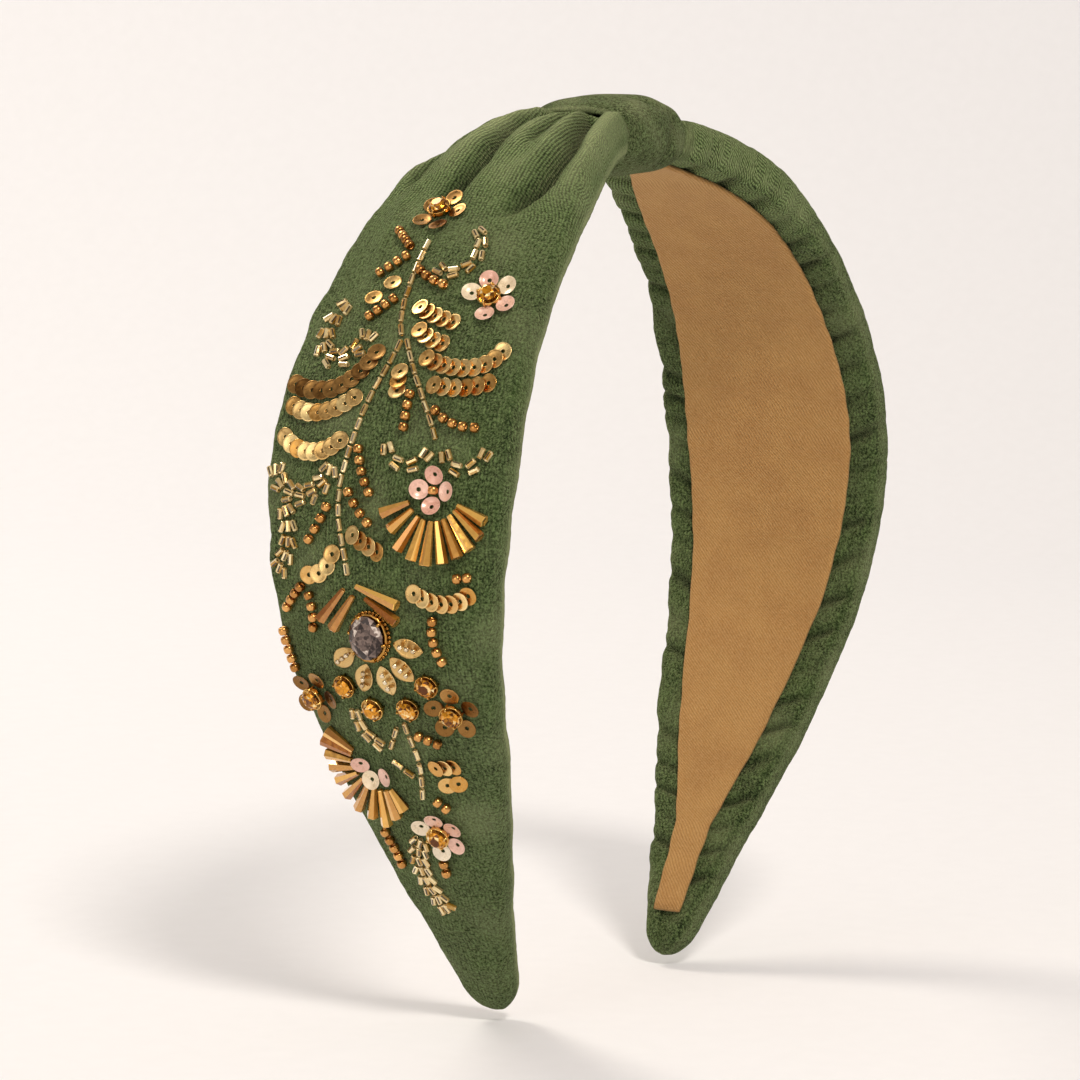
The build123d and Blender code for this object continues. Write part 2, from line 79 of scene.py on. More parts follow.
ROW_STEP, LAYER_STEP = 0.5, 1.2  # between rows of points, in the velvet and in the layers inside it
CREASE_STEP, CREASE_WIDTH, CREASE_DEPTH = 6.5, 0.95, 0.85  # the creases in the hems
PLEATS_END = (46, 58)  # where the foam comes back up to its height below the face
TIP_MIDDLE = -2.0

# ---- The knot ----
KNOT_HALF = 10
KNOT_WIDTH, KNOT_HEIGHT, KNOT_LEVEL = 11.2, 6.7, 68.15
MOUTH_WIDTH, MOUTH_HEIGHT = 8.7, 4.0
TUNNEL_WIDTH, TUNNEL_HEIGHT, TUNNEL_LEVEL = 8.5, 3.8, 67.9
TUNNEL_COLUMNS = 25
KNOT_GIRTH = 58  # length of the cloth round the knot
CREASE_TOP, CREASE_FRONT, CREASE_BACK = 95, 180, 20  # degrees round the knot, 90 is the top, 180 the front

# ---- Cloth, bead and camera sizes ----
STITCHES = (1.65, 2.1, 1.0)  # per millimetre, round the band and along it
RIBS = 1.65  # per millimetre
LINING_RIBS, LINING_SLANT = 1.9, 0.6
TAPER_LENGTH = 6.0
CORE_FACE = 3  # the face of a lined tube that gets painted shade for the hole seen through the glass
CAMERA_TURN, CAMERA_RISE, CAMERA_ROLL = -60.38, 5.79, 1.46
CAMERA_DISTANCE, CAMERA_LENS = 0.79399, 157.35
CAMERA_TARGET = Vector((-0.0011, 0.01005, 0))

# ---- Folds that run out of the knot: points (s, t), height (- is a valley), half width ----
LEFT_FOLDS = [
    ([(11, -7.2), (20, -9.8), (30, -13.4), (46, -16)], 1.5, 2.4),
    ([(11, -3.6), (22, -7.2), (29, -9.5), (39, -10.2), (50, -7)], -3.4, 1.35),
    ([(11, -0.2), (17, -0.8), (25, -1.6), (32, -2.4)], -1.9, 0.9),
    ([(11, -1.8), (22, -4.2), (32, -5.6), (44, -4)], 0.7, 1.5),
    ([(11, 3), (19, 4.6), (29, 4.0), (35, 3.2), (44, 4.2), (52, 6)], -2.9, 1.4),
    ([(11, 6), (19, 8.4), (30, 8.4), (44, 8.6)], 0.8, 1.6),
    ([(11, 7.4), (18, 10), (26, 12.3), (36, 13.6), (46, 14)], -1.6, 1.1),
    ([(40, 13), (55, 12), (63, 10.5)], 0.5, 1.8),
]
RIGHT_FOLDS = [
    ([(11, -5.6), (20, -8), (32, -10.5), (50, -12)], -1.5, 1.2),
    ([(11, -2.2), (20, -3.6), (34, -4.6), (48, -4)], -1.9, 1.2),
    ([(11, 1.4), (22, 1.8), (36, 3), (54, 5)], -1.4, 1.1),
    ([(11, 5), (20, 7), (32, 8.8), (44, 9.5)], -1.9, 1.3),
    ([(14, 8.6), (22, 11), (34, 13.6)], -1.0, 1.0),
]


# ---- Shape of the band ----
def read_smoothly(table, s):
    """Values at the places s from rows of (place, value)."""
    places, values = np.array(table, float).T
    row = np.clip(np.searchsorted(places, s, side="right") - 1, 0, len(places) - 2)
    number = np.arange(len(places))
    before, after = np.maximum(number - 1, 0), np.minimum(number + 1, len(places) - 1)
    slopes = (values[after] - values[before]) / (places[after] - places[before])
    gap = places[row + 1] - places[row]
    u = (s - places[row]) / gap
    start = (1 - u) ** 2 * (values[row] * (1 + 2 * u) + slopes[row] * gap * u)
    return start + u * u * (values[row + 1] * (3 - 2 * u) - slopes[row + 1] * gap * (1 - u))


def arch_at(s):
    """Sideways distance, height and slope of the arch at the places s."""
    left = np.array(s, float)
    x, z, slope = np.zeros_like(left), np.full_like(left, ARCH[0][0]), np.zeros_like(left)
    for radius, sweep in ARCH:
        turn = np.clip(left / radius, 0, radians(sweep))
        x += radius * (np.sin(slope + turn) - np.sin(slope))
        z += radius * (np.cos(slope + turn) - np.cos(slope))
        slope = slope + turn
        left = left - radius * turn
    return x, z, slope


def half_width(s):
    return read_smoothly(BAND_WIDTH, s) / 2


def face_height(s, t):
    return read_smoothly(CROWNING, s) * (1 - (t / half_width(s)) ** 2)


def on_band(s, t, n, side):
    """Points in millimetres, for arrays that broadcast together."""
    x, z, slope = arch_at(s)
    out = side * (x + n * np.sin(slope))
    up = z + n * np.cos(slope)
    return np.stack(np.broadcast_arrays(out, t + 0 * n, up), axis=-1)


def band_place(points, side):
    """The places (s, t) on the band of points near it."""
    s = np.arange(0, 195, 0.25)
    x, z, slope = arch_at(s)
    gap = (points[:, None, 0] * side - x) ** 2 + (points[:, None, 2] - z) ** 2
    return s[gap.argmin(axis=1)], points[:, 1]


def smooth(a, b, x):
    u = np.clip((x - a) / (b - a), 0, 1)
    return u * u * (3 - 2 * u)


def ripple(a, b, wavelength, seed):
    """Smooth, irregular waves between about -1 and 1 over the places (a, b)."""
    draw = np.random.default_rng(seed)
    total = 0
    for _ in range(7):
        angle, phase = draw.uniform(0, 2 * pi, 2)
        turns = 2 * pi / (wavelength * draw.uniform(0.7, 1.5))
        total = total + np.sin((a * cos(angle) + b * sin(angle)) * turns + phase)
    return total / 3


# ---- Velvet: what folds, gathers, wear and painted light add to the plain band ----
def fold(s, t, points, height, width):
    places, across = np.array(points, float).T
    line = np.interp(s, places, across)
    fade = smooth(places[0] - 1.5, places[0] + 1.5, s) * (1 - smooth(places[-1] - 9, places[-1], s))
    sharp = np.abs((t - line) / width) ** 1.5
    return height * fade * np.exp(-sharp)


def puff(s, t):
    """How far the gathered velvet swells where it comes out of the knot."""
    swell = smooth(6.5, 12.5, s) * (1 - smooth(20, 56, s))
    return swell * (1.7 + 1.0 * smooth(-6, 5, t))


def velvet_rise(s, t, side):
    """How far the velvet's face stands off the CAD face."""
    folds = LEFT_FOLDS if side < 0 else RIGHT_FOLDS
    rise = puff(s, t) + sum(fold(s, t, *f) for f in folds)
    return rise + 0.12 * ripple(s, t * 1.3, 17, 3 + side) + 0.05 * ripple(s, t, 5, 8 + side)


def gather(s, across, side, front):
    """Creases across the hems, where the velvet is drawn over the foam: relief, and how far into a crease
    each place lies, which also sets the painted shade in the creases.
    """
    seed = 20 + side + 2 * front
    count = (s + 2.6 * ripple(s, 0, 22, seed) + 0.45 * across) / CREASE_STEP
    nearest = np.round(count)
    gap = np.abs(count - nearest) * CREASE_STEP
    strength = np.clip(0.6 + 0.6 * ripple(nearest * 17, 0, 40, seed + 1), 0.1, 1.1)
    crease = np.exp(-(gap / CREASE_WIDTH) ** 2) * np.minimum(strength, 0.9)
    swell = 0.25 * np.exp(-((gap - 2.2) / 1.3) ** 2)
    return swell - crease + 0.08 * ripple(s, across, 3.2, seed + 1), crease


def cover_outline(s, side):
    """Places t and heights n round the velvet, from the front of the face over it and under again."""
    half = half_width(s)
    swell = smooth(7, 12.5, s) * (1 - smooth(18, 44, s))
    half_back = half + 1.9 * swell + 0.25 * ripple(s, 0, 9, 5 + side)
    half_front = half + 1.3 * swell + 0.12 * ripple(s, 0, 9, 11 + side)
    across = np.linspace(-1, 1, 95)
    stretch = np.where(across > 0, half_back - SHOULDER, half_front - SHOULDER)
    t = across * stretch
    plain = np.clip(t, -(half - SHOULDER), half - SHOULDER)
    crown = np.stack([t, face_height(s, plain) + velvet_rise(s, plain, side)], axis=-1)

    def edge(sign, reach):
        top = crown[:, -1 if sign > 0 else 0, 1]
        angle = np.radians(np.linspace(90, -90, 15)[1:])
        middle, radius = (top + HEM_BOTTOM) / 2, (top - HEM_BOTTOM) / 2
        out = reach[:, 0] - SHOULDER + SHOULDER * np.cos(angle)[:, None]
        return np.stack([sign * out.T, (middle + radius * np.sin(angle)[:, None]).T], axis=-1)

    hem = np.maximum(half - HEM_WIDTH, half / 4)
    run = np.linspace(0, 1, 9)[1:]

    def under(sign, reach):
        t_hem = (reach - SHOULDER) * (1 - run) + hem * run
        return np.stack([sign * t_hem, np.full_like(t_hem, HEM_BOTTOM)], axis=-1)

    link_t = np.linspace(1, -1, 7) * (hem - 0.1)
    link = np.stack([link_t, np.full_like(link_t, HEM_RECESS)], axis=-1)
    back = [edge(1, half_back), under(1, half_back)]
    front = [edge(-1, half_front), under(-1, half_front)]
    return np.concatenate([crown, *back, link, front[1][:, ::-1], front[0][:, ::-1]], axis=1)


def outward(outline):
    """Unit normals of closed outlines that run clockwise."""
    along = np.roll(outline, -1, axis=1) - np.roll(outline, 1, axis=1)
    normal = np.stack([-along[..., 1], along[..., 0]], axis=-1)
    return normal / np.maximum(np.linalg.norm(normal, axis=-1, keepdims=True), 1e-9)


def round_tip(s, outline):
    """Draws the outlines in to a blunt, rounded end."""
    u = np.clip((s - TIP_START) / (COVER_END + 0.05 - TIP_START), 0, 1)
    keep = np.sqrt(1 - u ** 2.6)[..., None]
    middle = np.array([0, TIP_MIDDLE])
    return middle + (outline - middle) * keep


def make_cover(name, side):
    """Velvet of one arm, with attributes for wear with painted highlights, ribs, and painted shade in the
    folds and creases.
    """
    s = np.linspace(COVER_START, COVER_END, int((COVER_END - COVER_START) / ROW_STEP))[:, None]
    outline = cover_outline(s, side)
    t, n = outline[..., 0], outline[..., 1]
    slant = np.abs(t) - half_width(s)
    near_edge = smooth(-7.5, -0.8, slant)
    calm = np.where((t < 0) & (side < 0), 0.12, 1.0)
    under = smooth(-0.5, -3.5, n) * (0.3 + 0.7 * smooth(0.3, -3.5, slant))
    front, back = gather(s, slant, side, 1), gather(s, slant, side, 0)
    relief, crease = (np.where(t < 0, f, b) for f, b in zip(front, back))
    reach = (0.12 * near_edge + under) * calm * smooth(11, 18, s) * (n != HEM_RECESS)
    nap = 0.03 * ripple(s, t, 1.6, 31)
    outline = outline + outward(outline) * (CREASE_DEPTH * reach * relief + nap)[..., None]
    outline = round_tip(s, outline)
    points = on_band(s, outline[..., 0], outline[..., 1], side)
    cover = tube(name, points, s, outline, flip=side > 0)
    # painted shade: the valleys of the folds on the face and the hem creases are darkened in the colour
    folds = sum(fold(s, t, *f) for f in (LEFT_FOLDS if side < 0 else RIGHT_FOLDS) if f[1] < 0)
    painted_shade = np.clip(-folds / 2.6, 0, 1) * (n > -1) + np.clip(crease * reach, 0, 1)
    set_attribute(cover, "painted_shade", np.clip(painted_shade, 0, 1))
    # painted highlights: a light strip low on the front edges, strong on the left arm and weak on the right,
    # and lighter fold crests; patch_wear adds random wear patches
    at_edge = (np.abs(t) > half_width(s) - 2) * np.where(side < 0, 1, 0.25)
    edge_highlight = np.exp(-((n + 3.0) / 0.7) ** 2) * at_edge * (0.8 + 0.2 * ripple(s, t, 6, 9))
    crest_highlight = 0.75 * smooth(1.2, 3.6, velvet_rise(s, t, side)) * (n > 0)
    patch_wear = 0.3 * np.clip(0.6 * ripple(s, t, 12, 6), 0, 1)
    set_attribute(cover, "wear_and_highlight", np.clip(edge_highlight + crest_highlight + patch_wear, 0, 1))
    set_attribute(cover, "ribbed", (1 - 0.75 * smooth(26, 62, s)) + 0 * t)
    return cover


# ---- Meshes ----
def new_piece(name, points, faces, smooth_faces=True):
    mesh = bpy.data.meshes.new(name)
    mesh.from_pydata((np.asarray(points, float).reshape(-1, 3) * MM).tolist(), [], faces)
    mesh.polygons.foreach_set("use_smooth", [smooth_faces] * len(mesh.polygons))
    piece = bpy.data.objects.new(name, mesh)
    bpy.context.scene.collection.objects.link(piece)
    return piece


def set_attribute(piece, name, values, domain="POINT"):
    attribute = piece.data.attributes.new(name, "FLOAT", domain)
    attribute.data.foreach_set("value", np.asarray(values, np.float32).ravel())


def grid_faces(rows, columns, flip, close_rows=False):
    """Four-sided faces of a grid that is closed along its columns."""
    last = rows if close_rows else rows - 1
    i, j = (a.ravel() for a in np.meshgrid(np.arange(last), np.arange(columns), indexing="ij"))
    up, right = (i + 1) % rows, (j + 1) % columns
    corners = [i * columns + j, i * columns + right, up * columns + right, up * columns + j]
    return np.stack(corners[::-1] if flip else corners, axis=1)


def tube(name, points, s, outline, flip):
    """Closed tube through rows of points, with its UVs in millimetres: round the outline, and along."""
    rows, columns = points.shape[:2]
    quads = grid_faces(rows, columns, flip)
    ends = [list(range(columns))[::-1], list(range((rows - 1) * columns, rows * columns))]
    if flip:
        ends = [end[::-1] for end in ends]
    piece = new_piece(name, points, quads.tolist() + ends)
    steps = np.linalg.norm(np.diff(outline, axis=1, append=outline[:, :1]), axis=-1)
    round_it = np.concatenate([np.zeros((rows, 1)), np.cumsum(steps, axis=1)], axis=1)
    round_it -= round_it[:, columns // 4, None]
    i, j = quads // columns, quads % columns
    wrapped = np.where((j == 0) & (j.max(axis=1, keepdims=True) == columns - 1), columns, j)
    uv = np.stack([round_it[i, wrapped], s[i, 0]], axis=-1).reshape(-1, 2)
    caps = points.reshape(-1, 3)[np.array(ends).ravel()][:, 1:]
    layer = piece.data.uv_layers.new(name="millimetres")
    layer.data.foreach_set("uv", np.concatenate([uv, caps]).astype(np.float32).ravel())
    return piece


def band_layer(name, side, first, last, outline_at):
    s = np.linspace(first, last, int((last - first) / LAYER_STEP))[:, None]
    outline = outline_at(s)
    return tube(name, on_band(s, outline[..., 0], outline[..., 1], side), s, outline, flip=side > 0)


def rounded_slab(half, top, bottom, rounding=0.4, columns=21):
    """Outlines of a layer with a curved top: half width per row, top and bottom heights per place."""
    across = np.sin(np.linspace(-1, 1, columns) * pi / 2)
    t = across * half
    upper, lower = top(t), bottom(t)
    pinch = 1 - smooth(1 - rounding / half, 1.0, np.abs(across)) * 0.45
    middle = (upper + lower) / 2
    over = np.stack([t, middle + (upper - middle) * pinch], axis=-1)
    under = np.stack([t, middle + (lower - middle) * pinch], axis=-1)[:, ::-1]
    return np.concatenate([over, under], axis=1)


def lining_half(s):
    hem = np.maximum(half_width(s) - HEM_WIDTH, half_width(s) / 4)
    return np.minimum(hem + LINING_LAP, half_width(s) - SHOULDER)


def lining_outline(s):
    half = lining_half(s) + 0.12 * ripple(s, 0, 5, 40)
    puffy = 0.1 * ripple(s, 0, 8, 41)
    top, bottom = lambda t: LINING_TOP + 0 * t, lambda t: LINING_BOTTOM + puffy * (1 - (t / half) ** 2)
    return rounded_slab(half, top, bottom, columns=35)


def core_outline(s):
    return rounded_slab(half_width(s) - CORE_INSET, lambda t: CORE_TOP + 0 * t, lambda t: CORE_BOTTOM + 0 * t)


def foam_outline(s):
    half = half_width(s) - FOAM_INSET
    thin = FOAM_DROP + FOLDED_DROP * (1 - smooth(*PLEATS_END, s))
    return rounded_slab(half, lambda t: face_height(s, t) - thin, lambda t: FOAM_BOTTOM + 0 * t, 0.8)


# ---- The knot: a wrap round both necks, with soft rims that roll in at each end ----
def knot_ring(angle, width, height, level, power):
    """Front-to-back place and height round a squarish ring."""
    c, w = np.cos(angle), np.sin(angle)
    y = np.sign(c) * np.abs(c) ** (2 / power) * width
    z = np.sign(w) * np.abs(w) ** (2 / power) * height
    return y, z + level


def make_knot():
    """Grid of places round the knot, each with a closed profile out, over and back through the tunnel."""
    angle = np.linspace(0, 2 * pi, 240, endpoint=False)[:, None]
    place = np.sin(np.linspace(-1, 1, 71) * pi / 2)[None, :]
    bulge = np.clip(1 - np.abs(place) ** 2.5, 0, 1) ** 0.55
    ease = np.abs(place) ** 2
    width = MOUTH_WIDTH + (KNOT_WIDTH - MOUTH_WIDTH) * bulge
    height = MOUTH_HEIGHT + (KNOT_HEIGHT - MOUTH_HEIGHT) * bulge
    y, z = knot_ring(angle, width, height, KNOT_LEVEL, 2.6)
    along = place * KNOT_HALF
    around = np.degrees(angle)
    # creases: one runs slantwise over the top, the others follow the pull round the front and back
    over = np.exp(-np.abs((along + 1.5 - (around - CREASE_TOP) * 0.085) / 1.25) ** 1.6)
    front = np.exp(-np.abs((along - 3.0 + (around - CREASE_FRONT) * 0.05) / 1.1) ** 1.6)
    behind = np.exp(-np.abs((along + 2.0 - around * 0.06) / 1.2) ** 1.6)
    over = over * np.exp(-((around - CREASE_TOP) / 62) ** 2)
    front = front * np.exp(-((around - CREASE_FRONT - 5) / 40) ** 2)
    behind = behind * np.exp(-((around - CREASE_BACK) / 35) ** 2)
    dent = over + 0.7 * front + 0.7 * behind
    lift = 0.55 * np.exp(-((along - 4.5) / 3.2) ** 2) * np.exp(-((around - 110) / 50) ** 2)
    soft = 0.18 * ripple(along, np.cos(angle) * 11 + np.sin(angle) * 7, 9, 50)
    grow = 1 + (lift + soft - dent) * bulge / 9
    y, z = y * grow, (z - KNOT_LEVEL) * grow + KNOT_LEVEL
    x = along + 0.35 * np.sin(angle * 2 + 0.6) * np.sign(place) * ease + 0 * y
    outer = np.stack([x, y, z], axis=-1)
    inner_y, inner_z = knot_ring(angle, TUNNEL_WIDTH, TUNNEL_HEIGHT, TUNNEL_LEVEL, 3.2)
    inner_x = np.linspace(KNOT_HALF - 0.35, 0.35 - KNOT_HALF, TUNNEL_COLUMNS)[None, :]
    inner = np.stack(np.broadcast_arrays(inner_x, inner_y, inner_z), axis=-1)
    points = np.concatenate([outer, inner], axis=1)
    rows, columns = points.shape[:2]
    quads = grid_faces(rows, columns, flip=True, close_rows=True)
    knot = new_piece("knot", points, quads.tolist())
    i, j = quads // columns, quads % columns
    i = np.where((i == 0) & (i.max(axis=1, keepdims=True) == rows - 1), rows, i)
    profile = np.concatenate([place[0] * KNOT_HALF, inner_x[0]])
    uv = np.stack([i * (KNOT_GIRTH / rows), profile[j]], axis=-1).reshape(-1, 2)
    knot.data.uv_layers.new(name="millimetres").data.foreach_set("uv", uv.astype(np.float32).ravel())
    # painted highlight on the rolled rims and on the lifted top of the knot; the ripple adds random wear
    rim_highlight = 0.7 * np.exp(-((np.abs(place) - 0.98) / 0.03) ** 2)
    wear_and_highlight = np.clip(rim_highlight + 0.4 * lift + 0.25 * ripple(along, around / 6, 7, 52), 0, 1)
    tunnel = np.ones((rows, TUNNEL_COLUMNS))
    set_attribute(knot, "wear_and_highlight", np.concatenate([wear_and_highlight, 0 * tunnel], axis=1))
    set_attribute(knot, "ribbed", np.zeros(points.shape[:2]))
    # painted shade: darker in the knot's creases and fully dark all through the tunnel
    set_attribute(knot, "painted_shade", np.concatenate([np.clip(dent * 0.8, 0, 1), tunnel], axis=1))
    return knot


# ---- Beads: templates are (points, faces) in millimetres, with Z along the axis ----
def revolve(profile, segments, flutes=0.0, phase=0.0):
    """Turns a closed profile of (radius, z), listed outward side up, about Z."""
    angle = np.arange(segments)[:, None] * 2 * pi / segments + phase
    radius, z = np.array(profile, float).T
    radius = radius * (1 + flutes * np.cos(angle * segments / 2))
    points = np.stack(np.broadcast_arrays(radius * np.cos(angle), radius * np.sin(angle), z), axis=-1)
    return points.reshape(-1, 3), grid_faces(segments, len(profile), flip=True, close_rows=True).tolist()


def hull(points):
    """Flat-faced stone: the hull of its corners."""
    work = bmesh.new()
    for p in points:
        work.verts.new(p)
    made = bmesh.ops.convex_hull(work, input=work.verts)
    bmesh.ops.delete(work, geom=made["geom_interior"], context="VERTS")
    bmesh.ops.dissolve_limit(work, angle_limit=radians(1), verts=work.verts, edges=work.edges)
    work.verts.index_update()
    found = np.array([v.co for v in work.verts]), [[v.index for v in f.verts] for f in work.faces]
    work.free()
    return found


def merge(*parts):
    points, faces = [], []
    for part_points, part_faces in parts:
        shift = sum(len(p) for p in points)
        points.append(part_points)
        faces += [[index + shift for index in face] for face in part_faces]
    return np.concatenate(points), faces


def scaled(part, x, y, z):
    return part[0] * np.array([x, y, z]), part[1]


def glass_tube(length, radius, hole, segments, far):
    """Cut tapered bead with softened rims. far is the radius at its far end."""
    soft = 0.09
    half = length / 2
    return revolve([
        (hole, -half + soft), (radius - soft, -half), (radius, -half + soft), (far, half - soft),
        (far - soft, half), (hole, half - soft),
    ], segments, phase=pi / segments)


def lined_tube(length, radius):
    """Silver-lined bugle: an eight-sided tube with one narrow side, which gets painted shade for the dark
    hole seen through the glass.
    """
    angle = np.radians([-15, 15, 55, 100, 150, 210, 260, 305])[:, None]
    half, soft = length / 2, 0.08
    profile = np.array([
        (0.14, -half + soft), (radius - soft, -half), (radius, -half + soft), (radius, -half * 0.72),
        (radius, half * 0.72), (radius, half - soft), (radius - soft, half), (0.14, half - soft),
    ])
    r, z = profile.T
    points = np.stack(np.broadcast_arrays(r * np.cos(angle), r * np.sin(angle), z), axis=-1)
    return points.reshape(-1, 3), grid_faces(8, 8, flip=True, close_rows=True).tolist()


def round_bead(radius, length, hole):
    """Seed bead: a barrel with a hole."""
    angle = np.linspace(0, 2 * pi, 14, endpoint=False) - pi / 2
    middle, reach = (radius + hole) / 2, (radius - hole) / 2
    c, w = np.cos(angle), np.sin(angle)
    profile = np.stack([
        middle + reach * np.sign(c) * np.abs(c) ** 0.95, length / 2 * np.sign(w) * np.abs(w) ** 0.9,
    ], axis=1)
    return revolve(profile, 20)


def sequin(radius, cup):
    """Stamped disc with a hole, a slightly dished face and a rolled rim."""
    rings = np.array([0.35, 0.45, 0.8, 1.15, radius - 0.08, radius])
    rise = cup * ((rings - 0.35) / (radius - 0.35)) ** 2
    upper = np.stack([rings, rise + 0.05 - 0.04 * (rings == radius)], axis=1)
    lower = np.stack([rings, rise - 0.07 + 0.04 * (rings == radius)], axis=1)
    return revolve(np.concatenate([lower, upper[::-1]]), 24)


def ring_of(count, radius, level, phase=0.0):
    angle = (np.arange(count) + phase) * 2 * pi / count
    return np.stack([radius * np.cos(angle), radius * np.sin(angle), np.full(count, level)], axis=1)


def cut_stone(radius=1.55):
    """Brilliant cut: table, star, kite, girdle and pavilion facets."""
    k = radius / 1.55
    rings = [
        ring_of(8, 0.82 * k, 1.72), ring_of(8, 1.2 * k, 1.52, 0.5), ring_of(16, radius, 1.15),
        ring_of(16, radius, 1.05), ring_of(8, 0.5 * k, 0.35),
    ]
    return hull(np.concatenate(rings))


def claw(way, reach, height, size=0.17):
    """Prong that rises by the wall and bends over the stone."""
    line = np.array([
        (0.06, 0.05), (0.1, height * 0.55), (0.0, height * 0.88), (-0.22, height), (-0.42, height - 0.04),
    ])
    line[:, 0] += reach
    slope = np.gradient(line, axis=0)
    slope /= np.linalg.norm(slope, axis=1, keepdims=True)
    angle = np.arange(8) * pi / 4
    thick = size * np.array([1.0, 1.0, 1.0, 1.05, 0.6])
    r = line[:, None, 0] + thick[:, None] * np.cos(angle) * slope[:, None, 1]
    z = line[:, None, 1] - thick[:, None] * np.cos(angle) * slope[:, None, 0]
    side_step = thick[:, None] * np.sin(angle)
    points = np.stack([r * cos(way) - side_step * sin(way), r * sin(way) + side_step * cos(way), z], axis=-1)
    faces = grid_faces(5, 8, flip=False).tolist()
    return points.reshape(-1, 3), faces + [list(range(8))[::-1], list(range(32, 40))]


def cup(radius=1.9, height=1.0):
    """Pressed cup with a fluted wall and a rolled rim."""
    return revolve([
        (0.25, 0.02), (radius - 0.35, 0.0), (radius - 0.12, 0.12), (radius, 0.5),
        (radius + 0.05, height - 0.1), (radius, height),
        (radius - 0.16, height - 0.03), (radius - 0.3, 0.55), (0.25, 0.2),
    ], 32, flutes=0.016)


def chaton_cup():
    return merge(cup(), *[claw(pi / 4 + k * pi / 2, 1.84, 1.5) for k in range(4)])


def oval_cup(length, width):
    """Tray with six prongs and a rim of small beads."""
    stretched = scaled(cup(1, 1.15), length, width, 1)
    claws = []
    for k in range(6):
        way = (k + 0.5) * pi / 3
        reach = 1 / np.hypot(cos(way) / length, sin(way) / width)
        claws.append(claw(way, reach - 0.05, 1.75, 0.24))
    beads = []
    for k in range(34):
        way = k * 2 * pi / 34
        ball = round_bead(0.3, 0.5, 0.02)
        place = np.array([(length + 0.2) * cos(way), (width + 0.2) * sin(way), 0.3])
        beads.append((ball[0] + place, ball[1]))
    return merge(stretched, *claws, *beads)


def oval_stone(length, width):
    facets = cut_stone(1.0)
    points = facets[0] * np.array([length, width, 1.0])
    points[:, 2] = 0.35 + (points[:, 2] - 0.35) * 1.25
    return points, facets[1]


def leaf(length=5.2, width=3.2):
    """Pressed leaf: a dished, pointed spangle with a raised vein and rim."""
    along = np.linspace(-1, 1, 19)[:, None]
    across = np.linspace(-1, 1, 13)[None, :]
    half = width / 2 * (1 - along ** 2) ** 0.85 + 0.03
    y = across * half
    vein = 0.12 * np.exp(-(across / 0.16) ** 2)
    ribs = 0.035 * np.cos((np.abs(across) * 1.4 - along * 4.5) * 4.4)
    rim = 0.08 * np.exp(-((np.abs(across) - 0.95) / 0.07) ** 2)
    rise = 0.3 * across ** 2 * (1 - along ** 2) + vein + ribs + rim
    x = along * length / 2 + 0 * y
    upper = np.stack([x, y, rise + 0.06], axis=-1)
    lower = np.stack([x, y, rise - 0.06], axis=-1)[:, ::-1]
    points = np.concatenate([upper, lower], axis=1)
    faces = grid_faces(19, 26, flip=False).tolist()
    ends = [list(range(26))[::-1], list(range(18 * 26, 19 * 26))]
    return points.reshape(-1, 3), faces + ends


# ---- Where each bead sits, read from the CAD nodes ----
def solids_of(node):
    """Corner points, in millimetres, of each separate solid in a CAD node."""
    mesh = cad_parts[node].data
    points = np.zeros(len(mesh.vertices) * 3)
    mesh.vertices.foreach_get("co", points)
    points = points.reshape(-1, 3) / MM
    unique, same = np.unique(np.round(points, 4), axis=0, return_inverse=True)
    same = same.ravel()
    edges = np.zeros(len(mesh.edges) * 2, np.int64)
    mesh.edges.foreach_get("vertices", edges)
    a, b = same[edges].reshape(-1, 2).T
    label = np.arange(len(unique))
    while True:
        low = np.minimum(label[a], label[b])
        joined = label.copy()
        np.minimum.at(joined, a, low)
        np.minimum.at(joined, b, low)
        joined = joined[joined]
        if (joined == label).all():
            break
        label = joined
    return [unique[label == k] for k in np.unique(label)]


def seat_of(points, side, full=False):
    """Origin and axes of one bead: the last axis is its own, and points away from the head."""
    centre = (points.max(axis=0) + points.min(axis=0)) / 2 if full else points.mean(axis=0)
    values, axes = np.linalg.eigh(np.cov((points - centre).T))
    slope = arch_at(band_place(centre[None], side)[0])[2]
    away = np.array([side * np.sin(slope[0]), 0, np.cos(slope[0])])
    if full:
        axis, long = axes[:, 0], axes[:, 2]
    else:
        odd = 0 if values[1] - values[0] > values[2] - values[1] else 2
        axis = axes[:, odd]
        long = away - (away @ axis) * axis if odd == 2 else axes[:, 2]
        long = long / np.linalg.norm(long)
    axis = axis * np.sign(axis @ away) if abs(axis @ away) > 0.3 else axis
    return centre, np.stack([long, np.cross(axis, long), axis], axis=1)


def wide_end_first(points, centre, axes):
    """Turns the axis of a tapered bead towards its wide end."""
    along = (points - centre) @ axes[:, 2]
    across = np.linalg.norm((points - centre) - np.outer(along, axes[:, 2]), axis=1)
    if across[along > 0].max() < across[along < 0].max():
        axes = axes * np.array([1, -1, -1])
    return axes


def turned(axes, spin, lean, draw):
    """Axes after a small random turn about the bead's own axis and a lean."""
    a, b, c = draw.uniform(-1, 1, 3)
    tilt = Matrix.Rotation(lean * b, 3, "X") @ Matrix.Rotation(lean * c, 3, "Y")
    return axes @ np.array(Matrix.Rotation(spin * a, 3, "Z") @ tilt)


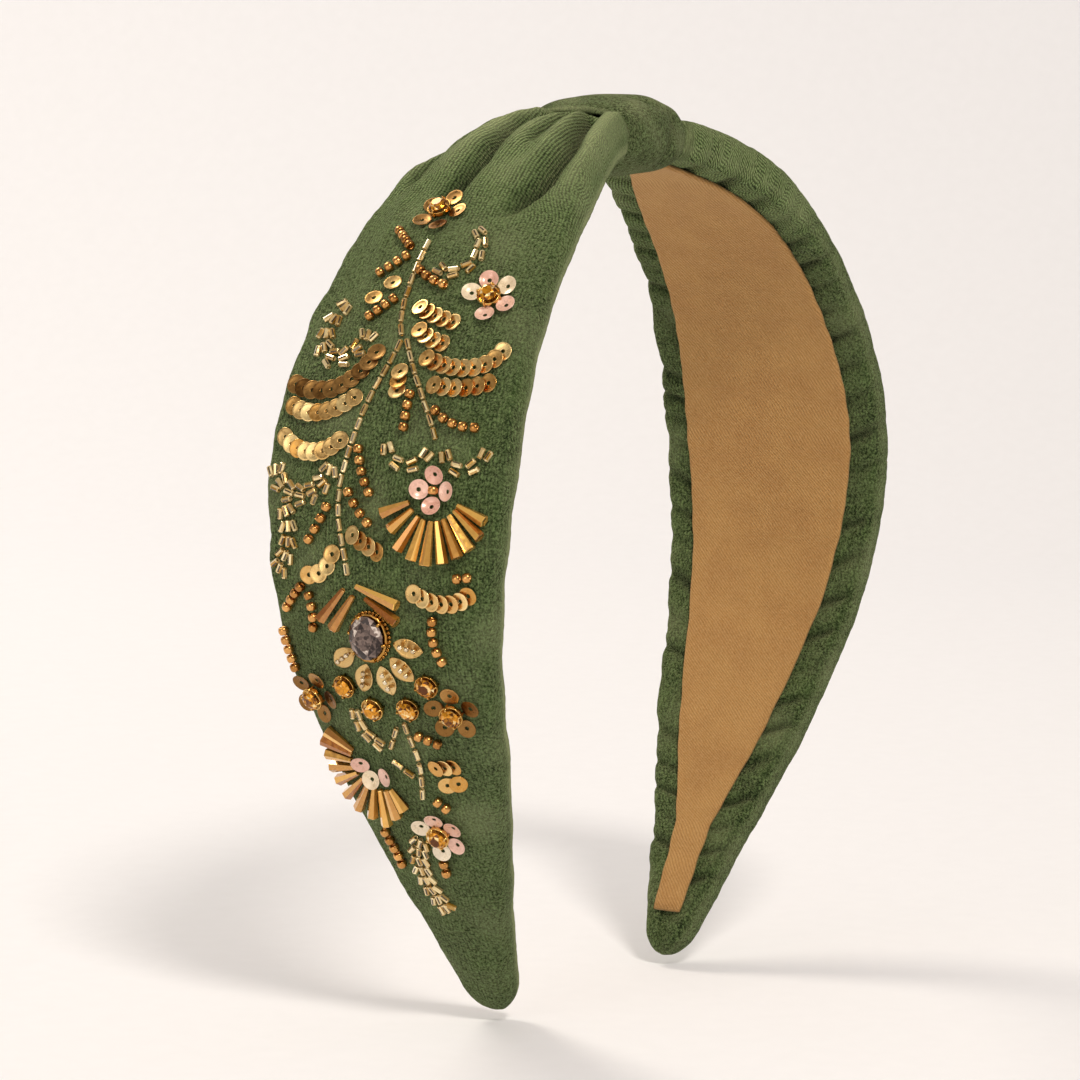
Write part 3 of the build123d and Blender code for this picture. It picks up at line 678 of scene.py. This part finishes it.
def beadwork(
    arm, kind, template, finish, slot,
    spin=pi, lean=0.03, full=False, base=False, taper=0, flat=False, core=-1,
):
    """One piece for a CAD node of beads, with a fresh copy of the template at each bead's own place.

    spin and lean are the largest random turns. full takes the axes of a flat or oval solid, base puts the
    template on the solid's underside, taper is the template's length where beads differ, flat shades the
    faces flat and gives each face a random brightness, a painted reflection, and core is the face that gets
    painted shade for the hole seen through the glass.
    """
    node, side = f"{arm}_{kind}", SIDES[arm]
    draw = np.random.default_rng(len(node) * 7 + len(kind))
    template_points, template_faces = template
    all_points, all_faces, tones = [], [], []
    for points in solids_of(node):
        centre, axes = seat_of(points, side, full)
        stretch = 1
        if taper:
            axes = wide_end_first(points, centre, axes)
            along = (points - centre) @ axes[:, 2]
            stretch = np.ptp(along) / taper
            centre = centre + axes[:, 2] * (along.max() + along.min()) / 2
        if base:
            centre = centre + axes[:, 2] * ((points - centre) @ axes[:, 2]).min()
        s, t = band_place(centre[None], side)
        slope = arch_at(s)[2]
        raised = np.array([side * sin(slope[0]), 0, cos(slope[0])]) * velvet_rise(s, t, side)[0]
        axes = turned(axes, spin, lean, draw)
        shift = len(all_points) * len(template_points)
        all_points.append(template_points * [1, 1, stretch] @ axes.T + centre + raised)
        all_faces += [[index + shift for index in face] for face in template_faces]
        tones.append(np.full(len(template_points), draw.uniform()))
    piece = new_piece(f"{node}_sewn", np.concatenate(all_points), all_faces, not flat)
    set_attribute(piece, "tone", np.concatenate(tones))
    if flat:
        # painted reflections: each flat face gets a random brightness
        facets = draw.uniform(size=len(all_faces))
        set_attribute(piece, "facet", facets, "FACE")
        # painted shade: the core face of each lined tube stands for the shaded hole seen through the glass
        dark = np.arange(len(all_faces)) % len(template_faces) == core
        set_attribute(piece, "core", dark, "FACE")
    dress(piece, finish)
    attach(piece, f"{arm}_arm")
    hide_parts(node)


# ---- Materials ----
def rgb(code):
    """Linear colour from a six-digit sRGB code."""
    values = np.array([int(code[k:k + 2], 16) for k in (0, 2, 4)]) / 255
    linear = np.where(values <= 0.04045, values / 12.92, ((values + 0.055) / 1.055) ** 2.4)
    return (*linear.tolist(), 1.0)


class Finish:
    """A material with a small set of node helpers."""

    def __init__(self, name, **sockets):
        self.material = bpy.data.materials.new(name)
        self.material.use_nodes = True
        self.tree = self.material.node_tree
        self.shader = self.tree.nodes["Principled BSDF"]
        for socket, value in sockets.items():
            self.shader.inputs[socket.replace("_", " ").title().replace("Ior", "IOR")].default_value = value

    def node(self, kind, inputs=None, **settings):
        made = self.tree.nodes.new(f"ShaderNode{kind}")
        for setting, value in settings.items():
            setattr(made, setting, value)
        for socket, value in (inputs or {}).items():
            if isinstance(value, bpy.types.NodeSocket):
                self.tree.links.new(value, made.inputs[socket])
            else:
                made.inputs[socket].default_value = value
        return made

    def noise(self, where, scale, detail=2.0, rough=0.5):
        settings = {"Vector": where, "Scale": scale, "Detail": detail, "Roughness": rough}
        return self.node("TexNoise", settings).outputs[0]

    def ramp(self, value, low, high, to_low=0.0, to_high=1.0):
        limits = {"From Min": low, "From Max": high, "To Min": to_low, "To Max": to_high}
        return self.node("MapRange", {"Value": value, **limits}).outputs[0]

    def mix(self, share, a, b):
        made = self.node("Mix", data_type="RGBA")
        for socket, value in ((made.inputs[0], share), (made.inputs[6], a), (made.inputs[7], b)):
            if isinstance(value, bpy.types.NodeSocket):
                self.tree.links.new(value, socket)
            else:
                socket.default_value = value
        return made.outputs[2]

    def times(self, a, b):
        return self.node("Math", {0: a, 1: b}, operation="MULTIPLY").outputs[0]

    def plus(self, a, b):
        return self.node("Math", {0: a, 1: b}, operation="ADD").outputs[0]

    def waves(self, where, per_mm):
        """Ridges between 0 and 1 along a place in millimetres."""
        sine = self.node("Math", {0: self.times(where, 2 * pi * per_mm)}, operation="SINE").outputs[0]
        return self.ramp(sine, -1.0, 1.0)

    def place(self):
        return self.node("TexCoord").outputs["Object"]

    def cloth_place(self):
        return self.node("UVMap", uv_map="millimetres").outputs["UV"]

    def attribute(self, name):
        return self.node("Attribute", attribute_name=name).outputs["Fac"]

    def connect(self, socket, value):
        self.tree.links.new(value, self.shader.inputs[socket])

    def bump(self, height, distance, strength=1.0):
        made = self.node("Bump", {"Height": height, "Distance": distance, "Strength": strength})
        self.connect("Normal", made.outputs["Normal"])


def velvet():
    """Silk-like pile on a ribbed knit: dark where it is seen end on, pale where it leans, with wear patches,
    painted highlights on edges and crests, and painted shade in folds and creases.
    """
    f = Finish("velvet_pile", roughness=0.95, specular_ior_level=0.12, sheen_weight=0.55, sheen_roughness=0.3)
    f.shader.inputs["Sheen Tint"].default_value = rgb("C3CB98")
    cloth, place = f.cloth_place(), f.place()
    patches = f.ramp(f.noise(place, 170.0, 3.0, 0.6), 0.34, 0.68)
    speckle = f.ramp(f.noise(place, 2300.0, 3.0, 0.8), 0.4, 0.66)
    knit = f.node("Mapping", {"Vector": cloth, "Scale": STITCHES}).outputs[0]
    cells = f.node("TexVoronoi", {"Vector": knit, "Scale": 1.0, "Randomness": 0.5}, voronoi_dimensions="2D")
    stitch = f.ramp(cells.outputs["Distance"], 0.12, 0.52, 1.0, 0.0)
    rib_place = f.node("SeparateXYZ", {0: cloth}).outputs["X"]
    ribs = f.waves(rib_place, RIBS)
    ribbed = f.attribute("ribbed")
    knitted = f.times(f.plus(f.times(stitch, 0.65), f.times(ribs, 0.45)), ribbed)
    plain = f.times(speckle, f.ramp(ribbed, 0.0, 1.0, 1.0, 0.4))
    tips = f.plus(knitted, plain)
    base = f.mix(patches, rgb("15230B"), rgb("344622"))
    base = f.mix(f.ramp(tips, 0.2, 1.05, 0.0, 0.95), base, rgb("809A60"))
    # painted highlights on band edges, fold crests and knot rims, mixed with random wear patches
    base = f.mix(f.times(f.attribute("wear_and_highlight"), 0.62), base, rgb("B3BC8C"))
    # painted shade in fold valleys, hem creases and the knot's tunnel
    base = f.mix(f.times(f.attribute("painted_shade"), 0.8), base, rgb("0D1608"))
    f.connect("Base Color", base)
    f.bump(tips, 0.00034, 1.0)
    return f.material


def velour():
    """Short-napped tan ribbon with a fine slanting rib."""
    sheen = {"sheen_weight": 0.35, "sheen_roughness": 0.4}
    f = Finish("velour_ribbon", roughness=0.85, specular_ior_level=0.2, **sheen)
    f.shader.inputs["Sheen Tint"].default_value = rgb("F2D6A8")
    cloth, place = f.cloth_place(), f.place()
    turned_cloth = f.node("Mapping", {"Vector": cloth, "Rotation": (0, 0, LINING_SLANT)}).outputs[0]
    slant = f.node("SeparateXYZ", {0: turned_cloth}).outputs["X"]
    rib = f.waves(slant, LINING_RIBS)
    nap = f.ramp(f.noise(place, 2600.0, 2.0, 0.7), 0.3, 0.7)
    patches = f.ramp(f.noise(place, 150.0, 2.0), 0.35, 0.65)
    base = f.mix(patches, rgb("A87C48"), rgb("B28750"))
    base = f.mix(f.times(nap, 0.4), base, rgb("D6B07A"))
    base = f.mix(f.ramp(rib, 0.0, 0.5, 0.4, 0.0), base, rgb("7E5629"))
    f.connect("Base Color", base)
    f.bump(f.plus(f.times(rib, 0.6), f.times(nap, 0.5)), 0.00016, 0.8)
    return f.material


def foam():
    f = Finish("open_cell_foam", roughness=0.95, subsurface_weight=0.1)
    cells = f.node("TexVoronoi", {"Vector": f.place(), "Scale": 1700.0}).outputs["Distance"]
    f.connect("Base Color", f.mix(f.ramp(cells, 0.0, 0.6), rgb("B9B096"), rgb("EAE3CF")))
    f.bump(cells, 0.0003)
    return f.material


def hoop_plastic():
    f = Finish("hoop_plastic", specular_ior_level=0.45)
    streaks = f.node("Mapping", {"Vector": f.cloth_place(), "Scale": (1.6, 0.12, 1.0)}).outputs[0]
    grain = f.noise(streaks, 1.5, 3.0)
    f.connect("Base Color", f.mix(grain, rgb("2B2A28"), rgb("3B3936")))
    f.connect("Roughness", f.ramp(grain, 0.3, 0.7, 0.32, 0.5))
    f.bump(grain, 0.00005, 0.4)
    return f.material


def metal(name, dark, light, rough, grain_scale=900.0):
    """Plated or lacquered metal, with a tone of its own for each bead and fine rubbing."""
    f = Finish(name, metallic=1.0)
    grain = f.noise(f.place(), grain_scale, 3.0, 0.6)
    tone = f.ramp(f.plus(f.attribute("tone"), f.times(grain, 0.7)), 0.2, 1.5)
    f.connect("Base Color", f.mix(tone, rgb(dark), rgb(light)))
    f.connect("Roughness", f.ramp(grain, 0.35, 0.65, *rough))
    f.bump(grain, 0.00002, 0.5)
    return f.material


def pearly(name, dark, light):
    """Pastel lacquered sequin: soft gloss with a faint streaked lustre."""
    f = Finish(name, metallic=0.15, coat_weight=0.6, coat_roughness=0.12)
    grain = f.noise(f.place(), 1300.0, 3.0, 0.6)
    tone = f.ramp(f.plus(f.attribute("tone"), f.times(grain, 0.8)), 0.3, 1.5)
    f.connect("Base Color", f.mix(tone, rgb(dark), rgb(light)))
    f.connect("Roughness", f.ramp(grain, 0.35, 0.65, 0.22, 0.42))
    f.bump(grain, 0.00002, 0.5)
    return f.material


def lined_glass(name, dark, light, slit):
    """Glass over a foil lining: each facet gets a random brightness, a painted reflection, round a core face
    painted dark for the shaded hole.
    """
    f = Finish(name, metallic=0.6, coat_weight=1.0, coat_roughness=0.03, coat_ior=1.52)
    grain = f.noise(f.place(), 1500.0, 2.0, 0.6)
    # painted reflection: the random facet brightness, added to the bead's own tone
    tone = f.plus(f.times(f.attribute("tone"), 0.5), f.attribute("facet"))
    tone = f.ramp(f.plus(tone, f.times(grain, 0.5)), 0.45, 1.6)
    base = f.mix(tone, rgb(dark), rgb(light))
    # painted shade: the core face goes near black for the hole seen through the glass
    base = f.mix(f.times(f.attribute("core"), 0.92), base, rgb(slit))
    f.connect("Base Color", base)
    f.connect("Roughness", f.ramp(grain, 0.3, 0.7, 0.06, 0.24))
    f.bump(grain, 0.00003, 0.4)
    return f.material


def gem(name, dark, mid, light, metallic=0.6):
    """Foil-backed cut glass: each facet gets a random share of the foil's colour, a painted reflection, with
    painted glints from small cells.
    """
    f = Finish(name, metallic=metallic, coat_weight=0.12, coat_roughness=0.02, coat_ior=1.5)
    # painted glints and painted reflections: small cells and the random facet brightness pick the dark, mid
    # and light colours
    sparks = f.node("TexVoronoi", {"Vector": f.place(), "Scale": 2200.0}).outputs["Color"]
    spark = f.times(f.node("SeparateColor", {0: sparks}).outputs[0], 0.3)
    spark = f.plus(spark, f.times(f.attribute("facet"), 0.8))
    base = f.mix(f.ramp(spark, 0.3, 0.6), rgb(dark), rgb(mid))
    base = f.mix(f.ramp(spark, 0.78, 1.0), base, rgb(light))
    f.connect("Base Color", base)
    f.connect("Roughness", f.ramp(spark, 0.0, 1.0, 0.04, 0.2))
    return f.material


def dress(piece, finish):
    piece.data.materials.clear()
    piece.data.materials.append(finish)


# ---- Build the soft goods ----
VELVET, VELOUR, FOAM, PLASTIC = velvet(), velour(), foam(), hoop_plastic()


def bend_with_arm(piece, arm, *nodes):
    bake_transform(piece)
    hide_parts(*nodes)


for arm, side in SIDES.items():
    cover = make_cover(f"{arm}_velvet", side)
    dress(cover, VELVET)
    bend_with_arm(cover, arm, f"{arm}_cover")

    pad = band_layer(f"{arm}_foam", side, FOAM_START, FOAM_END, foam_outline)
    dress(pad, FOAM)
    bend_with_arm(pad, arm, f"{arm}_foam_pad")

    core = band_layer(f"{arm}_hoop", side, 0, CORE_END, core_outline)
    dress(core, PLASTIC)
    bend_with_arm(core, arm, "hoop_core")

    ribbon = band_layer(f"{arm}_lining", side, 0, LINING_END, lining_outline)
    dress(ribbon, VELOUR)
    bend_with_arm(ribbon, arm, "lining")

knot = make_knot()
dress(knot, VELVET)
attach(knot, "crown")
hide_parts("knot_wrap")

# ---- Build the embroidery ----
SILVER_GLASS = lined_glass("silver_lined_glass_bead", "B98A2C", "FFEBB4", "23170A")
AMBER = lined_glass("amber_glass_bead", "9E5A10", "FFC860", "6E3D10")
COPPER = metal("copper_bead", "A06A32", "EDB46C", rough=(0.2, 0.34))
PALE_METAL = metal("silver_bead", "B9A07A", "F6E9CC", rough=(0.14, 0.3))
GOLD_DISC = metal("gold_sequin_face", "C48A3A", "FFE2A0", rough=(0.22, 0.4), grain_scale=1200.0)
BRONZE_DISC = metal("bronze_sequin_face", "6E4A22", "B98D52", rough=(0.24, 0.42), grain_scale=1200.0)
GOLD_CUP = metal("gold_plating", "A9742C", "F0C878", rough=(0.12, 0.3))
LEAF_METAL = metal("pressed_leaf", "C39A57", "F6DFA8", rough=(0.2, 0.38))
PINK, CREAM = pearly("pink_lacquer", "D79E88", "F3D0BE"), pearly("cream_lacquer", "E6CFA9", "FBF3E2")
TOPAZ = gem("topaz_glass", "5E3208", "DC941E", "FFEBB0")
SMOKE = gem("smoky_glass", "2B211E", "7C6A62", "E4D6CA", metallic=0.5)

STEM = {"spin": 0.3, "flat": True, "core": CORE_FACE}
SPRAY = {"spin": 0.8, "lean": 0.1, "flat": True, "core": CORE_FACE}
AS_DRAWN = {"spin": 0.0, "lean": 0.0, "full": True, "base": True}
STONE = {"spin": 0.2, "lean": 0.0, "flat": True, "base": True}
TAPERED = {"taper": TAPER_LENGTH, "flat": True}
EMBROIDERY = [  # kind, template, finish, slot, and how it sits
    ("stem_bugles", lined_tube(1.95, 0.43), SILVER_GLASS, "silver_lined_glass", STEM),
    ("spray_bugles", lined_tube(1.75, 0.47), SILVER_GLASS, "silver_lined_glass", SPRAY),
    ("seed_beads", round_bead(0.82, 1.2, 0.26), COPPER, "copper_seed", {}),
    ("gold_sequins", sequin(1.5, 0.14), GOLD_DISC, "gold_sequin", {"lean": 0.05}),
    ("bronze_sequins", sequin(1.55, 0.18), BRONZE_DISC, "bronze_sequin", {"lean": 0.05}),
    ("pink_sequins", sequin(1.55, 0.5), PINK, "pink_sequin", {"lean": 0.05}),
    ("cream_sequins", sequin(1.6, 0.5), CREAM, "cream_sequin", {"lean": 0.05}),
    ("tapered_bugles", glass_tube(TAPER_LENGTH, 0.45, 0.2, 6, 1.0), AMBER, "amber_glass", TAPERED),
    ("chaton_cups", chaton_cup(), GOLD_CUP, "gold_metal", {"spin": 0.2, "base": True}),
    ("chaton_stones", cut_stone(), TOPAZ, "champagne_stone", STONE),
    ("leaf_spangles", leaf(), LEAF_METAL, "leaf_metal", {"spin": 0.0, "full": True}),
    ("leaf_beads", round_bead(0.42, 0.7, 0.14), PALE_METAL, "silver_seed", {"lean": 0.05}),
    ("oval_setting", oval_cup(3.9, 3.3), GOLD_CUP, "gold_metal", AS_DRAWN),
    ("oval_stone", oval_stone(3.65, 3.05), SMOKE, "smoky_stone", {**AS_DRAWN, "flat": True}),
]

for arm in SIDES:
    for kind, template, finish, slot, sits in EMBROIDERY:
        beadwork(arm, kind, template, finish, slot, **sits)


# ---- Stage, lights and camera ----
def backdrop():
    """Pale floor that sweeps up into a wall behind."""
    floor = float(START_BOUNDS[0].z) / MM - 0.6
    angle = np.linspace(0, pi / 2, 17)
    near, far, bend, top = -1500, 700, 300, 1800
    away = np.concatenate([[near], far + bend * np.sin(angle), [far + bend + 1]])
    up = np.concatenate([[0], bend - bend * np.cos(angle), [top]])
    side = np.array([-2200, 2200])
    turn = radians(CAMERA_TURN)
    x = side[None, :] * cos(turn) - away[:, None] * sin(turn)
    y = side[None, :] * sin(turn) + away[:, None] * cos(turn)
    points = np.stack(np.broadcast_arrays(x, y, up[:, None] + floor), axis=-1)
    faces = [[2 * i, 2 * i + 1, 2 * i + 3, 2 * i + 2] for i in range(len(away) - 1)]
    sweep = new_piece("backdrop", points, faces)
    glow = {"emission_color": rgb("FFF2E8"), "emission_strength": 0.12}
    f = Finish("pale_paper", roughness=0.8, specular_ior_level=0.1, **glow)
    grain = f.noise(f.place(), 240.0, 3.0)
    f.connect("Base Color", f.mix(grain, rgb("E2E4EA"), rgb("E6E8EE")))
    f.bump(grain, 0.0001, 0.2)
    sweep.data.materials.append(f.material)


def softbox(name, place, size, watts, colour):
    lamp = bpy.data.lights.new(name, "AREA")
    lamp.shape = "DISK"
    lamp.size = size
    lamp.energy = watts
    lamp.color = rgb(colour)[:3]
    holder = bpy.data.objects.new(name, lamp)
    holder.location = place
    holder.rotation_euler = (-Vector(place)).to_track_quat("-Z", "Y").to_euler()
    bpy.context.scene.collection.objects.link(holder)


def make_camera():
    a, e, r = radians(CAMERA_TURN), radians(CAMERA_RISE), radians(CAMERA_ROLL)
    back = Vector((sin(a) * cos(e), -cos(a) * cos(e), sin(e)))
    right = Vector((cos(a), sin(a), 0))
    up = Vector((-sin(a) * sin(e), cos(a) * sin(e), cos(e)))
    axes = (cos(r) * right + sin(r) * up, cos(r) * up - sin(r) * right, back)
    camera = bpy.data.objects.new("camera", bpy.data.cameras.new("camera"))
    camera.data.lens = CAMERA_LENS
    place = Matrix.Translation(CAMERA_TARGET + back * CAMERA_DISTANCE)
    camera.matrix_world = place @ Matrix(axes).transposed().to_4x4()
    bpy.context.scene.collection.objects.link(camera)
    bpy.context.scene.camera = camera


def make_world():
    world = bpy.data.worlds.new("studio")
    world.use_nodes = True
    background = world.node_tree.nodes["Background"]
    background.inputs["Color"].default_value = rgb("FFF8F0")
    background.inputs["Strength"].default_value = 0.34
    bpy.context.scene.world = world


backdrop()
make_world()
make_camera()
softbox("key", (-0.75, -0.8, 1.05), 0.3, 13, "FFF4E6")
softbox("fill", (-1.3, 0.1, 0.25), 0.8, 3, "FFF8F0")
softbox("rim", (0.2, 0.9, 1.0), 0.5, 8, "FFF3E0")
bpy.context.scene.view_settings.view_transform = "Standard"
